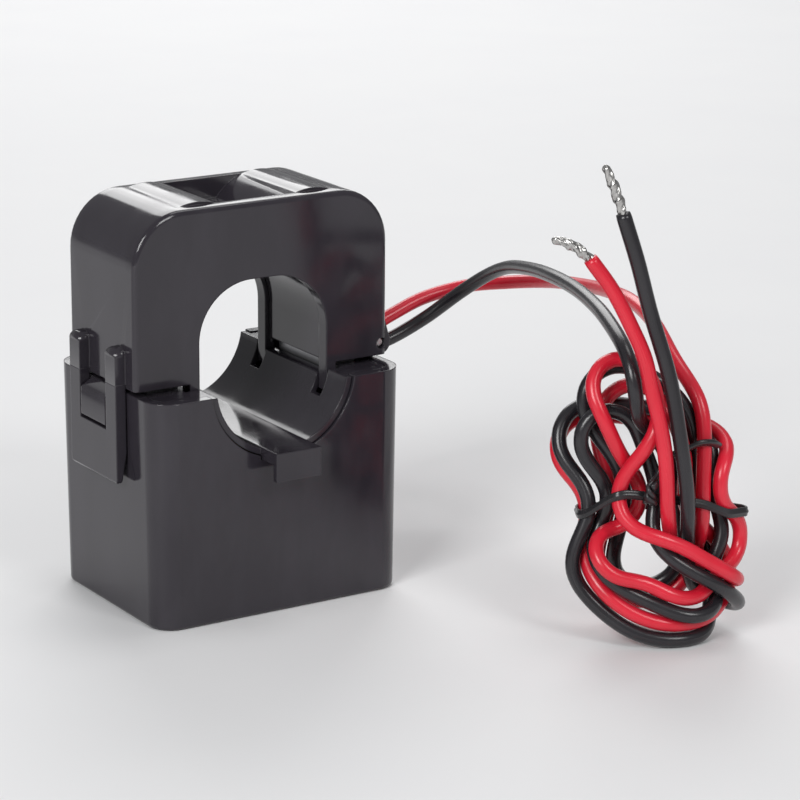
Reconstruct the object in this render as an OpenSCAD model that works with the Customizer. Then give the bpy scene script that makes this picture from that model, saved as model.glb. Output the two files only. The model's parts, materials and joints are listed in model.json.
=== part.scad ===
// Split-core current transformer: a moulded case that holds the wound half of the core, a hinged cap
// that holds the other half, a snap latch, and a pair of signal leads tied in an upright bundle.
// X runs from the latch side to the hinge side, Y along the conductor, Z up. Millimetres.
// The origin is the centre of the case's base.

/* [Case] */
// Width of the case at its rim, from the latch side to the hinge side
case_w = 46; // [45.5:0.25:49]
// Depth of the case along the conductor
case_d = 35; // [33:0.5:42]
// Height of the case from base to rim
case_h = 37.5; // [37:0.25:40]
// Radius of the case's upright corners
corner_r = 4.5; // [3.5:0.25:5.5]
// Draft of each side of the case, from rim to base
draft = 0.4; // [0.1:0.1:0.5]
// Rounding of the case's bottom edge
base_round = 0.7; // [0.4:0.1:1]
// Wall thickness of the case and of the cap
wall = 1.8; // [1.5:0.1:1.9]
// Thickness of the case's floor
floor_t = 2; // [1.6:0.1:2.2]

/* [Cap] */
// Gap between the case's rim and the cap
split_gap = 0.8; // [0.5:0.1:1]
// Height of the cap's flat rims above the case's rim
cap_rise = 29; // [28.5:0.25:31]
// Depth of the cap along the conductor
cap_d = 22; // [21:0.5:24]
// How far the cap stands out past the case on each side
cap_over = 0.2; // [0:0.1:0.4]
// Radius of the cap's upper corners
cap_corner_r = 9; // [7:0.5:10]
// Thickness of the cap's front and back plates
plate_t = 2.4; // [2:0.1:2.6]
// Rounding of the plates' outer edges
plate_round = 0.8; // [0.4:0.1:1]
// Depth of the valley in the cap's roof below the rims
valley_depth = 3.5; // [3:0.1:3.7]
// Thickness of the roof under the valley
roof_t = 1.2; // [1:0.1:1.3]
// Radius of the two humps of the roof
hump_r = 10; // [9:0.5:12]
// Distance of each hump's crest from the middle
hump_x = 10.5; // [9.5:0.25:11.5]
// Height of the humps above the rims
hump_rise = 0.5; // [0.2:0.1:0.8]

/* [Window] */
// Diameter of the conductor bore
bore_d = 24; // [22:0.5:24.5]
// Height of the bore's axis above the case's rim
bore_rise = 1.7; // [1.2:0.1:2]
// Width of the cap's window
window_w = 23.4; // [21:0.2:24]
// Height of the window above the case's rim
window_rise = 16.5; // [15:0.25:16.6]
// Radius of the window's upper corners
window_r = 9.5; // [7:0.5:10.5]
// Reach of the four locating prongs below the cap
prong_len = 5; // [3:0.25:5.5]
// Thickness of the prongs across the window
prong_t = 1.8; // [1.4:0.1:2]

/* [Saddle] */
// Thickness of the saddle's trough
trough_t = 1; // [0.8:0.1:1.1]
// Thickness of the saddle's top plate
plate_top_t = 1.5; // [1.2:0.1:1.8]
// Width of the flat strap seat along the bore
seat_w = 8.2; // [6:0.2:9]
// Height of the strap seat above the lowest line of the bore
seat_rise = 1; // [0.8:0.1:1.5]
// Thickness of the strap hook's neck
neck_t = 2; // [1.6:0.1:2.4]
// Reach of the strap hook from the case
hook_reach = 4.5; // [3.5:0.25:6]
// Thickness of the hook's lip
lip_t = 1; // [0.8:0.1:1.4]
// Height of the hook's lip
lip_h = 4.7; // [4:0.1:6]

/* [Latch] */
// Width of the latch
latch_w = 15.6; // [14:0.2:18]
// Thickness of the latch arm
latch_t = 1.8; // [1.4:0.1:2]
// Gap between the arm and the case
latch_gap = 0.2; // [0.15:0.05:0.3]
// Height of the two latch roots on the cap
root_h = 6; // [5:0.25:8]
// Reach of the latch arm below the flexing line
arm_len = 16.2; // [14:0.25:19]
// Width of the arm's window
slot_w = 8.8; // [7.5:0.2:9.6]
// Depth of the arm's window below the flexing line
slot_len = 7.8; // [7.2:0.1:8.4]
// Height of the catch tooth's face
tooth_h = 4.8; // [4:0.1:5]

/* [Hinge] */
// Radius of the hinge barrel
barrel_r = 2.2; // [2:0.1:2.3]
// Diameter of the hinge pin
pin_d = 1.8; // [1.4:0.1:2]
// Height of the hinge axis above the case's rim
hinge_rise = 2.7; // [2.6:0.05:3]
// Distance of the hinge axis inside the case's side face
hinge_inset = 0.7; // [0.5:0.05:0.9]
// Length of the case's middle knuckle
knuckle_l = 12.4; // [10:0.2:13]
// Length of each of the cap's knuckles
cap_knuckle_l = 3.6; // [3:0.2:4]

/* [Core and coil] */
// Thickness of the core's strip winding, less where the case is too narrow for it
core_build = 5.5; // [4.5:0.25:5.75]
// Width of the core's strip
core_d = 15; // [12:0.5:15.5]
// Height of the underside of the core's lower bar above the base
core_base = 9.3; // [8.8:0.1:9.6]
// Radius of the core's outer corners
core_r = 4; // [2:0.5:5]
// Radius of the core's inner bends
core_bend_r = 0.6; // [0.3:0.1:0.8]
// Thickness of the liner that walls the window from inside
liner_t = 0.8; // [0.6:0.1:0.9]
// Setback of the liner from the window's edge
liner_setback = 0.7; // [0.4:0.1:0.8]
// Wall of the bobbin's tube
bobbin_t = 0.8; // [0.6:0.1:1]
// Thickness of the bobbin's end flanges
flange_t = 1.2; // [0.8:0.1:1.6]
// Build of the winding on the bobbin's tube
coil_build = 5.2; // [4:0.1:5.3]
// Thickness of the tape over the winding
tape_t = 0.25; // [0.15:0.05:0.4]

/* [Leads] */
// Outside diameter of each lead
lead_d = 2.4; // [1.8:0.1:2.6]
// Diameter of the tinned strand at each lead's end
strand_d = 1.4; // [1:0.1:1.6]
// Height of the case's rim above the black lead's hole
lead_drop = 7.9; // [7.5:0.1:8.5]
// Distance between the two lead holes
lead_pitch = 3.6; // [3.4:0.1:4]
// Distance of the lead holes from the case's side
lead_inset = 5; // [5:0.1:6]
// Diameter of the sleeves over the lead splices
sleeve_d = 3.2; // [2.8:0.1:3.3]

/* [Hidden] */

$fn = 48;
eps = 0.01;
housing_black = [0.09, 0.085, 0.095];
steel = [0.62, 0.63, 0.65];
copper = [0.72, 0.38, 0.18];

// Clearance between moulded pieces that fit together
fit = 0.15;
// Clearance round pieces that swing past each other
swing = 0.3;
// Air gap between the two halves of the core
core_gap = 0.1;

bore_r = bore_d / 2;
bore_z = case_h + bore_rise;
split_z = case_h + split_gap;
cap_top = case_h + cap_rise;
cap_w = case_w + 2 * cap_over;
window_top = case_h + window_rise;
plate_y = cap_d / 2 - plate_t;
inner_w = case_w - 2 * wall;
inner_d = case_d - 2 * wall;
seat_z = bore_z - bore_r + seat_rise;
valley_z = cap_top - valley_depth;

core_in_x = bore_r + liner_setback + liner_t + 0.2;
// Room between the core and the case's side wall
core_room = 0.5;
core_t = min(core_build, inner_w / 2 - core_in_x - core_room);
core_out_x = core_in_x + core_t;
core_meet_z = case_h + split_gap / 2;
liner_top = window_top + liner_setback + liner_t;
yoke_low = liner_top + fit;
yoke_top = yoke_low + core_t;
coil_z = core_base + core_t / 2;
bobbin_x = core_in_x - core_bend_r;
tube_y = core_d / 2 + fit + bobbin_t;
tube_z = core_t / 2 + fit + bobbin_t;
flange_y = tube_y + coil_build + 2 * tape_t + 0.6;
// Place of the winding's two ends, across and along the case, and their spacing and diameter
end_x = 8;
end_y = 9;
end_gap = 1;
end_d = 0.6;
// Length and width of the leaf spring over the core
leaf_l = 20;
leaf_w = 8;

lead_x = case_w / 2 - lead_inset;
lead_z = case_h - lead_drop;
splice_y0 = core_d / 2 + 1.6;
splice_y1 = inner_d / 2 - 2.4;

hinge_x = case_w / 2 - hinge_inset;
hinge_z = case_h + hinge_rise;
pin_l = knuckle_l + 2 * swing + 2 * cap_knuckle_l;

latch_in_x = -case_w / 2 - latch_gap;
latch_out_x = latch_in_x - latch_t;
flex_z = split_z + 0.6;
slot_low = flex_z - slot_len;
tooth_low = slot_low + 0.3;

// ---- flat outlines ----

// Rectangle with round corners, about its centre
module rounded_rect(w, d, r) {
    square([w - 2 * r, d], center = true);
    square([w, d - 2 * r], center = true);
    for (x = [-1, 1], y = [-1, 1])
        translate([x * (w / 2 - r), y * (d / 2 - r)]) circle(r);
}

// Upright rectangle from z0 to z1 whose two upper corners are round
module arch(w, z0, z1, r) {
    translate([-w / 2, z0]) square([w, z1 - r - z0]);
    translate([r - w / 2, z0]) square([w - 2 * r, z1 - z0]);
    for (x = [-1, 1]) translate([x * (w / 2 - r), z1 - r]) circle(r);
}

// Carries an outline drawn in X and Z along Y, from y0 to y1
module along_y(y0, y1) translate([0, y1, 0]) rotate([90, 0, 0]) linear_extrude(y1 - y0) children();

// Carries an outline drawn in Y and Z along X, from x0 to x1
module along_x(x0, x1) translate([x0, 0, 0]) rotate([90, 0, 90]) linear_extrude(x1 - x0) children();

// Cylinder along Y at x, z
module rod_y(r, x, z, y0, y1) translate([x, y1, z]) rotate([90, 0, 0]) cylinder(r = r, h = y1 - y0);

// Straight round wire from p to q, with round ends
module wire(p, q, d) {
    v = q - p;
    len = norm(v);
    translate(p) rotate([0, acos(v[2] / len), atan2(v[1], v[0])]) cylinder(d = d, h = len, $fn = 16);
    for (end = [p, q]) translate(end) sphere(d = d, $fn = 16);
}

// ---- case ----

// Layer of the drafted case at height z, drawn in by inset on every side
module case_layer(z, w, d, r, inset) {
    translate([0, 0, z]) linear_extrude(eps) rounded_rect(w - 2 * inset, d - 2 * inset, r - inset);
}

module case_outside() {
    hull() {
        case_layer(case_h - eps, case_w, case_d, corner_r, 0);
        for (a = [0 : 30 : 90])
            case_layer(base_round * (1 - sin(a)), case_w, case_d, corner_r,
                       draft + base_round * (1 - cos(a)));
    }
}

module case_inside() {
    hull() {
        case_layer(case_h, inner_w, inner_d, corner_r - wall, 0);
        case_layer(floor_t, inner_w, inner_d, corner_r - wall, draft);
    }
}

// Catch tooth of the case: flat face, square underside, ramp on top
module tooth() {
    y = slot_w / 2 - swing;
    along_y(-y, y)
        polygon([[-case_w / 2 + wall / 2, tooth_low], [latch_out_x + 0.3, tooth_low],
                 [latch_out_x, tooth_low + 0.3], [latch_out_x, tooth_low + tooth_h],
                 [-case_w / 2, case_h - 0.1], [-case_w / 2 + wall / 2, case_h - 0.1]]);
}

// Middle knuckle of the hinge, on a neck that grows out of the side wall
module case_knuckle() {
    y = knuckle_l / 2;
    rod_y(barrel_r, hinge_x, hinge_z, -y, y);
    along_y(-y, y)
        polygon([[case_w / 2 - wall, hinge_z], [case_w / 2 - wall, case_h - 1],
                 [case_w / 2 - wall / 2, case_h - 4], [case_w / 2 - 0.1, case_h - 1],
                 [hinge_x + barrel_r - 0.6, hinge_z - 1]]);
}

module lead_holes() {
    for (i = [0, 1])
        rod_y(lead_d / 2 + fit, lead_x, lead_z + i * lead_pitch, inner_d / 2 - 1, case_d / 2 + 1);
}

module lower_case() {
    trough_out = bore_r + trough_t + fit;
    color(housing_black) difference() {
        union() {
            difference() {
                case_outside();
                case_inside();
                rod_y(trough_out, 0, bore_z, -case_d, case_d);
                translate([-seat_w / 2 - fit, -case_d, seat_z - neck_t - fit])
                    cube([seat_w + 2 * fit, 2 * case_d, case_h]);
            }
            tooth();
            case_knuckle();
        }
        rod_y(pin_d / 2, hinge_x, hinge_z, -case_d, case_d);
        lead_holes();
    }
}

// ---- saddle ----

// Strap hook: neck that runs out of the bore's end and a lip that turns down
module strap_hook() {
    out = case_d / 2 + hook_reach;
    translate([-seat_w / 2, -out, seat_z - neck_t]) cube([seat_w, 2 * out, neck_t]);
    for (side = [-1, 1])
        translate([-seat_w / 2, side * (out - lip_t / 2) - lip_t / 2, seat_z - lip_h])
            cube([seat_w, lip_t, lip_h]);
}

// Slots in the trough and the top plate that take the cap's prongs
module prong_slots() {
    slot_y0 = plate_y - swing;
    slot_y1 = cap_d / 2 + swing;
    for (x = [0, 1], y = [0, 1]) mirror([x, 0, 0]) mirror([0, y, 0])
        translate([window_w / 2 - 3, slot_y0, split_z - prong_len - swing])
            cube([3 + prong_t + 3 * swing, slot_y1 - slot_y0, prong_len + 2]);
}

module bore_saddle() {
    end_y = case_d / 2 - 0.5;
    top = case_h - 0.2;
    pole_x0 = core_in_x - fit;
    pole_cut = 5;
    color(housing_black) difference() {
        union() {
            intersection() {
                rod_y(bore_r + trough_t, 0, bore_z, -end_y, end_y);
                translate([-case_w, -case_d, 0]) cube([2 * case_w, 2 * case_d, top]);
            }
            translate([0, 0, top - plate_top_t]) linear_extrude(plate_top_t)
                rounded_rect(inner_w - 2 * fit, inner_d - 2 * fit, corner_r - wall);
            strap_hook();
        }
        difference() {
            rod_y(bore_r, 0, bore_z, -case_d, case_d);
            translate([-seat_w / 2, -case_d, seat_z - neck_t]) cube([seat_w, 2 * case_d, neck_t]);
        }
        for (side = [-1, 1])
            translate([side * (pole_x0 + core_t / 2 + fit) - core_t / 2 - fit, -core_d / 2 - fit, top - pole_cut])
                cube([core_t + 2 * fit, core_d + 2 * fit, 2 * pole_cut]);
        translate([-pole_x0 - 1, -plate_y + swing, case_h - 1.2]) cube([2 * pole_x0 + 2, 2 * (plate_y - swing), 2]);
        prong_slots();
    }
}

// ---- core, coil and splices ----

// Strip-wound loop of the core, cut square in two at the meeting plane
module core_loop(z0, z1) {
    h = yoke_top - core_base;
    mid = (yoke_top + core_base) / 2;
    intersection() {
        along_y(-core_d / 2, core_d / 2) translate([0, mid]) difference() {
            rounded_rect(2 * core_out_x, h, core_r);
            rounded_rect(2 * core_in_x, h - 2 * core_t, core_bend_r);
        }
        translate([-case_w, -case_d, z0]) cube([2 * case_w, 2 * case_d, z1 - z0]);
    }
}

module lower_core() color(steel) core_loop(0, core_meet_z - core_gap / 2);

module upper_core() color(steel) core_loop(core_meet_z + core_gap / 2, cap_top);

// Box about the lower bar of the core, reaching y and z each way from its middle
module round_bar(half_l, y, z, r) {
    translate([0, 0, coil_z]) along_x(-half_l, half_l) rounded_rect(2 * y, 2 * z, r);
}

module bobbin() {
    drop = coil_z - floor_t;
    color([0.85, 0.83, 0.76]) difference() {
        union() {
            round_bar(bobbin_x, tube_y, tube_z, 0.5);
            for (side = [-1, 1])
                translate([side * (bobbin_x - flange_t / 2), 0, 0]) round_bar(flange_t / 2, flange_y, drop, 1.5);
        }
        round_bar(bobbin_x + 1, core_d / 2 + fit, core_t / 2 + fit, 0.2);
    }
}

// Layer of the coil between the flanges, from build_in to build_out above the bobbin's tube
module coil_layer(build_in, build_out) {
    half_l = bobbin_x - flange_t;
    difference() {
        round_bar(half_l, tube_y + build_out, tube_z + build_out, 3);
        round_bar(half_l + 1, tube_y + build_in, tube_z + build_in, build_in > 0 ? 3 : 0.5);
    }
}

// Copper winding and its two ends, which rise behind the core's leg to the splices
module secondary_winding() {
    coil_top = coil_z + tube_z + coil_build;
    rise_y = core_d / 2 + 0.75;
    color(copper) {
        coil_layer(0, coil_build);
        for (i = [0, 1]) {
            x = lead_x + 1.2 * (i - 0.5);
            z = lead_z + i * lead_pitch;
            out = [end_x + i * end_gap, end_y, coil_top + 2 + i];
            foot = [x, rise_y, coil_top + 4 + i];
            wire([out[0], out[1], coil_top - end_d / 2], out, end_d);
            wire(out, foot, end_d);
            wire(foot, [x, rise_y, z], end_d);
            wire([x, rise_y, z], [x, rise_y + 1.3, z], end_d);
        }
    }
}

// Tape over the winding, with a notch round the winding's ends
module winding_tape() color([0.85, 0.72, 0.2]) difference() {
    notch = 5 * end_gap;
    coil_layer(coil_build, coil_build + tape_t);
    translate([end_x + end_gap / 2 - notch / 2, end_y - notch / 2, coil_z + tube_z]) cube([notch, notch, case_h]);
}

// Heat-shrink sleeve between the winding's end and a lead
module splice_sleeve(level) rod_y(sleeve_d / 2, lead_x, lead_z + level * lead_pitch, splice_y0, splice_y1);

module red_splice_sleeve() color("firebrick") difference() {
    splice_sleeve(1);
    winding_end_room(1);
}

module black_splice_sleeve() color("dimgray") difference() {
    splice_sleeve(0);
    winding_end_room(0);
}

// Room in a sleeve's end for the winding's end
module winding_end_room(level) {
    x = lead_x + 1.2 * (level - 0.5);
    rod_y(0.4, x, lead_z + level * lead_pitch, core_d / 2, core_d / 2 + 3);
}

// ---- cap ----

// Plate of the cap whose outer edge is rounded; y_face is its outer face
module cap_plate(side) {
    hull() {
        for (a = [0 : 30 : 90]) {
            inset = plate_round * (1 - sin(a));
            depth = plate_round * (1 - cos(a));
            translate([0, side * (cap_d / 2 - depth), 0]) along_y(-eps / 2, eps / 2)
                arch(cap_w - 2 * inset, split_z, cap_top - inset, cap_corner_r - inset);
        }
        translate([0, side * plate_y, 0]) along_y(-eps / 2, eps / 2)
            arch(cap_w, split_z, cap_top, cap_corner_r);
    }
}

// Roof and side walls between the plates: two humps with a valley between them
module roof_outline() {
    arch(cap_w, split_z, valley_z, cap_corner_r - valley_depth);
    intersection() {
        arch(cap_w, split_z, cap_top, cap_corner_r);
        for (side = [-1, 1]) translate([side * (hump_x + case_w / 2) - case_w / 2, split_z])
            square([case_w, cap_rise]);
    }
    for (side = [-1, 1]) translate([side * hump_x, cap_top + hump_rise - hump_r]) circle(hump_r);
}

// Latch root: a rounded lug on the cap's side wall from which the arm hangs
module latch_roots() {
    y0 = slot_w / 2;
    y1 = latch_w / 2;
    round_r = 1.4;
    intersection() {
        along_x(latch_out_x, -cap_w / 2 + wall / 2) for (side = [-1, 1])
            translate([side * (y0 + y1) / 2, 0]) arch(y1 - y0, flex_z, flex_z + root_h, round_r);
        along_y(-latch_w, latch_w) {
            translate([latch_out_x, flex_z]) square([2 * latch_t, root_h - round_r]);
            translate([latch_out_x + round_r, flex_z]) square([2 * latch_t, root_h]);
            translate([latch_out_x + round_r, flex_z + root_h - round_r]) circle(round_r);
        }
    }
}

// Locating prong: a tapered tongue below the window's edge
module prongs() {
    x = window_w / 2;
    for (i = [0, 1], j = [0, 1]) mirror([i, 0, 0]) mirror([0, j, 0])
        along_y(plate_y, cap_d / 2)
            polygon([[x, split_z + 1], [x, split_z - prong_len + 0.4], [x + 0.4, split_z - prong_len],
                     [x + prong_t - 0.8, split_z - prong_len], [x + prong_t, split_z - prong_len + 1.5],
                     [x + prong_t, split_z + 1]]);
}

module cap_knuckles() {
    y0 = knuckle_l / 2 + swing;
    for (side = [0, 1]) mirror([0, side, 0]) {
        rod_y(barrel_r, hinge_x, hinge_z, y0, y0 + cap_knuckle_l);
        along_y(y0, y0 + cap_knuckle_l)
            polygon([[hinge_x, hinge_z], [hinge_x + barrel_r, hinge_z],
                     [cap_w / 2, hinge_z + 2 * barrel_r], [hinge_x, hinge_z + 2 * barrel_r]]);
    }
}

module upper_case() {
    room = barrel_r + swing;
    y = knuckle_l / 2 + swing;
    color(housing_black) difference() {
        union() {
            difference() {
                union() {
                    cap_plate(-1);
                    cap_plate(1);
                    along_y(-plate_y - eps, plate_y + eps) roof_outline();
                }
                along_y(-plate_y, plate_y)
                    arch(cap_w - 2 * wall, 0, valley_z - roof_t, cap_corner_r - wall - valley_depth / 2);
                along_y(-cap_d, cap_d) arch(window_w, 0, window_top, window_r);
            }
            prongs();
            latch_roots();
            cap_knuckles();
        }
        rod_y(room, hinge_x, hinge_z, -y, y);
        translate([hinge_x - room, -y, 0]) cube([2 * room, 2 * y, hinge_z]);
        rod_y(pin_d / 2 + 0.05, hinge_x, hinge_z, -case_d, case_d);
    }
}

// Arch that walls the window between the two plates, with a rim at each end that locates the core
module cap_liner() {
    y1 = plate_y - 0.1;
    rim = 0.8;
    x = window_w / 2 + liner_setback;
    color(housing_black) difference() {
        union() {
            along_y(-y1, y1) arch(2 * (x + liner_t), split_z, liner_top, window_r + liner_setback + liner_t);
            for (side = [-1, 1]) translate([0, side * (y1 - rim / 2), 0]) along_y(-rim / 2, rim / 2)
                arch(2 * (x + liner_t + 1.5), split_z, liner_top + 1.5, window_r + liner_setback + liner_t + 1.5);
        }
        along_y(-cap_d, cap_d) arch(2 * x, 0, window_top + liner_setback, window_r + liner_setback);
    }
}

// Bowed leaf that presses the upper core down onto the lower one
module core_spring() {
    leaf_t = 0.25;
    half_l = leaf_l / 2;
    sag = valley_z - roof_t - yoke_top - leaf_t;
    r = (half_l * half_l + sag * sag) / (2 * sag);
    color(steel) along_y(-leaf_w / 2, leaf_w / 2) intersection() {
        translate([0, yoke_top + sag - r]) difference() {
            circle(r + leaf_t, $fn = 400);
            circle(r, $fn = 400);
        }
        translate([-half_l, yoke_top]) square([2 * half_l, 2 * sag]);
    }
}

// ---- latch and hinge pin ----

// Arm of the latch: a plate with a window round the tooth and a thinned lower end
module latch_arm() {
    low = flex_z - arm_len;
    color(housing_black) difference() {
        intersection() {
            along_y(-latch_w / 2, latch_w / 2)
                polygon([[latch_in_x, flex_z], [latch_in_x, low + 5], [latch_out_x + 0.9, low],
                         [latch_out_x + 0.3, low], [latch_out_x, low + 0.4], [latch_out_x, flex_z]]);
            along_x(-case_w, 0) translate([0, flex_z]) {
                r = 0.8;
                translate([-latch_w / 2, r - arm_len]) square([latch_w, arm_len - r]);
                translate([r - latch_w / 2, -arm_len]) square([latch_w - 2 * r, arm_len]);
                for (side = [-1, 1]) translate([side * (latch_w / 2 - r), r - arm_len]) circle(r);
            }
        }
        translate([-case_w, -slot_w / 2, slot_low]) cube([case_w, slot_w, slot_len + 1]);
    }
}

module hinge_pin() color(steel) {
    body_l = pin_l - 0.6;
    rod_y(pin_d / 2, hinge_x, hinge_z, -body_l / 2, body_l / 2);
    for (side = [0, 1]) mirror([0, side, 0]) translate([hinge_x, body_l / 2, hinge_z]) rotate([-90, 0, 0])
        cylinder(r1 = pin_d / 2, r2 = pin_d / 2 - 0.3, h = 0.3);
}

// ---- leads ----

// Route of the red lead, from its splice to the bundle
red_z = lead_z + lead_pitch;
red_route = [[lead_x, splice_y1, red_z], [lead_x, case_d / 2 - 1.5, red_z],
             [lead_x + 0.4, case_d / 2 + 2.5, red_z], [21, 24.5, 32.4], [27, 27.5, 31],
             [36, 28.5, 30.2], [43.5, 29, 30.4], [49.5, 29, 32.6], [56, 28.5, 35], [63.5, 26, 36.8],
             [68, 19, 38.4], [69.3, 9, 40.5], [67, -3, 42.8], [63, -17, 45.2], [58.5, -30, 46.8],
             [54.5, -41, 46.5], [51.5, -49, 44.5], [50.2, -53.8, 41.8], [50.5, -56.8, 38.8]];
// Route of the black lead, from its splice to the bundle
black_route = [[lead_x, splice_y1, lead_z], [lead_x, case_d / 2 - 1.5, lead_z],
               [lead_x + 0.2, case_d / 2 + 2.5, lead_z - 0.2], [20.5, 25, 28], [27, 28, 26.8],
               [38, 28.5, 26.8], [47.5, 28, 28.3], [55, 26.5, 31.8], [60, 23, 36.5], [61.8, 17.5, 40.5],
               [61, 9.5, 43.9], [58, -2, 46.4], [54.4, -13.4, 48], [51, -24, 48.8],
               [47, -34.5, 49.2], [42.6, -45, 49], [39, -54.2, 47], [37.6, -58.9, 43.9]];
// Free ends of the leads, from the bundle to where the insulation stops
red_end_route = [[39.2, -61.6, 34], [39.2, -61.6, 42], [38.2, -60.9, 47], [36.6, -59.7, 51.5],
                 [33.9, -58.1, 57.5], [30.8, -56.3, 62.5]];
black_end_route = [[42, -63.5, 34], [41.7, -62.8, 43.5], [38.8, -61, 54.5], [37, -60, 62],
                   [34.9, -58.8, 69.5]];
// Bared strand of each lead, from the insulation to the tip
red_strand_route = [[30.8, -56.3, 62.5], [28.4, -54.9, 64.6], [25.7, -53.3, 65.6]];
black_strand_route = [[34.9, -58.8, 69.5], [33.8, -58, 73.3], [32.4, -57.2, 77]];

function unit(v) = v / norm(v);

// Point at t, from 0 to 1, between p[i] and p[i + 1] on a smooth curve through the points of p
function curve_point(p, i, t) =
    let(a = p[max(i - 1, 0)], b = p[i], c = p[i + 1], d = p[min(i + 2, len(p) - 1)])
    0.5 * (2 * b + (c - a) * t + (2 * a - 5 * b + 4 * c - d) * t * t
           + (3 * b - a - 3 * c + d) * t * t * t);

// The curve through p as points, steps to a stretch
function smooth_route(p, steps) = concat(
    [for (i = [0 : len(p) - 2], k = [0 : steps - 1]) curve_point(p, i, k / steps)], [p[len(p) - 1]]);

// One ring of the tube: sides points about the curve's point i, square to its direction; the first
// point lies square to across as well
function ring_at(q, i, r, sides, across) =
    let(dir = unit(q[min(i + 1, len(q) - 1)] - q[max(i - 1, 0)]),
        side = unit(cross(dir, across)),
        up = cross(side, dir))
    [for (k = [0 : sides - 1]) q[i] + r * (cos(360 * k / sides) * side + sin(360 * k / sides) * up)];

// Round tube of radius r along the curve through p, which nowhere runs along across
module tube_along(p, r, across = [0, 0, 1], steps = 1, sides = 8) {
    q = smooth_route(p, steps);
    n = len(q);
    points = [for (i = [0 : n - 1]) each ring_at(q, i, r, sides, across)];
    side_faces = [for (i = [0 : n - 2], k = [0 : sides - 1])
        let(a = i * sides + k, b = i * sides + (k + 1) % sides) [a, b, b + sides, a + sides]];
    polyhedron(points, concat(side_faces, [[for (k = [sides - 1 : -1 : 0]) k]],
                              [[for (k = [0 : sides - 1]) (n - 1) * sides + k]]), convexity = 8);
}

module red_lead() color("crimson") tube_along(red_route, lead_d / 2);

module black_lead() color("dimgray") tube_along(black_route, lead_d / 2);

module red_lead_end() color("crimson") tube_along(red_end_route, lead_d / 2, [1, 0, 0]);

module black_lead_end() color("dimgray") tube_along(black_end_route, lead_d / 2, [1, 0, 0]);

module red_tinned_end() color("silver") tube_along(red_strand_route, strand_d / 2, [0, 0, 1]);

module black_tinned_end() color("silver") tube_along(black_strand_route, strand_d / 2, [1, 0, 0]);

// Where the bundle stands and which way its flat side faces
hank_at = [44, -57, 0];
hank_turn = -30;
// The bundle's lower and upper lobes: place across, place along its depth, height of the middle,
// half width and half depth
hank_low = [1.4, -1, 12.8, 12.8, 7.5];
hank_high = [-1.6, -0.5, 33, 13.8, 6.5];
// Twist tie: height of its middle, width of the band, room across and along the bundle, middle of
// that room, thickness
tie_z = 21.5;
tie_band = 2;
tie_room = [21.6, 12];
tie_at = [0.5, -0.8];
tie_t = 1;
// More than the bundle reaches from its middle
hank_reach = 20;

// The two lobes with their middles at m, r wide each way and stretched by s along the outline's first axis
module hank_lobes(m, s)
    for (i = [0, 1]) {
        lobe = [hank_low, hank_high][i];
        translate([m[i], lobe[2]]) scale([s[i], 1]) circle(lobe[3]);
    }

// Bundle of the leads' turns: two round lobes that the tie draws together between them
module lead_hank() color("crimson") translate(hank_at) rotate([0, 0, hank_turn]) intersection() {
    along_y(-hank_reach, hank_reach) hank_lobes([hank_low[0], hank_high[0]], [1, 1]);
    along_x(-hank_reach, hank_reach)
        hank_lobes([hank_low[1], hank_high[1]], [hank_low[4] / hank_low[3], hank_high[4] / hank_high[3]]);
}

// Twist tie round the bundle's waist
module twist_tie() color("black") translate(hank_at) rotate([0, 0, hank_turn])
    translate([tie_at[0], tie_at[1], tie_z - tie_band / 2]) linear_extrude(tie_band) difference() {
        rounded_rect(tie_room[0] + 2 * tie_t, tie_room[1] + 2 * tie_t, 4 + tie_t);
        rounded_rect(tie_room[0], tie_room[1], 4);
    }

lower_case();
bore_saddle();
lower_core();
bobbin();
secondary_winding();
winding_tape();
red_splice_sleeve();
black_splice_sleeve();
upper_case();
cap_liner();
latch_arm();
upper_core();
core_spring();
hinge_pin();
red_lead();
black_lead();
lead_hank();
red_lead_end();
black_lead_end();
red_tinned_end();
black_tinned_end();
twist_tie();
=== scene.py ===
"""Split-core current transformer: a hinged case round a core, with two leads tied in a bundle.

Shapes are worked out in mm and go into the meshes in metres, through MM. +Z is up, -Y is the front."""
import json
import math

import bmesh
import bpy
import numpy as np
from mathutils import Matrix, Vector

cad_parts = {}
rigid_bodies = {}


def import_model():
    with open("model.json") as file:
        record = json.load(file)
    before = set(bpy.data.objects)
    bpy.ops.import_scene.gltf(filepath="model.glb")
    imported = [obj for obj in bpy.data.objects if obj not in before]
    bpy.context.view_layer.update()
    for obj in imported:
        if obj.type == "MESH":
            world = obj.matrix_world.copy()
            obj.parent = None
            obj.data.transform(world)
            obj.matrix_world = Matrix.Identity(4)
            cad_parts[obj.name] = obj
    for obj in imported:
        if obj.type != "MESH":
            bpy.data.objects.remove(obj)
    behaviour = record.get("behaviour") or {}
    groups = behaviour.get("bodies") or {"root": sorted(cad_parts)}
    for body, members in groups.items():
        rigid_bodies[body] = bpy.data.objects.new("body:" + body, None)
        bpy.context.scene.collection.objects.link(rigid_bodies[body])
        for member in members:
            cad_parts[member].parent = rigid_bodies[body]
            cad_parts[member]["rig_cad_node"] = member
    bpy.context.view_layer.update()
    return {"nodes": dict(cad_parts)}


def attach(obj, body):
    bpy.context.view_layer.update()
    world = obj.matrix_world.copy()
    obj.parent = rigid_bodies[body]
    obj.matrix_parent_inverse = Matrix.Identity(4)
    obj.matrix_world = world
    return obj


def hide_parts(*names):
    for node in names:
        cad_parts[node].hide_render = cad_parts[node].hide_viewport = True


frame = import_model()
MM = 0.001

# ---------------------------------------------------------------- camera


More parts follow.
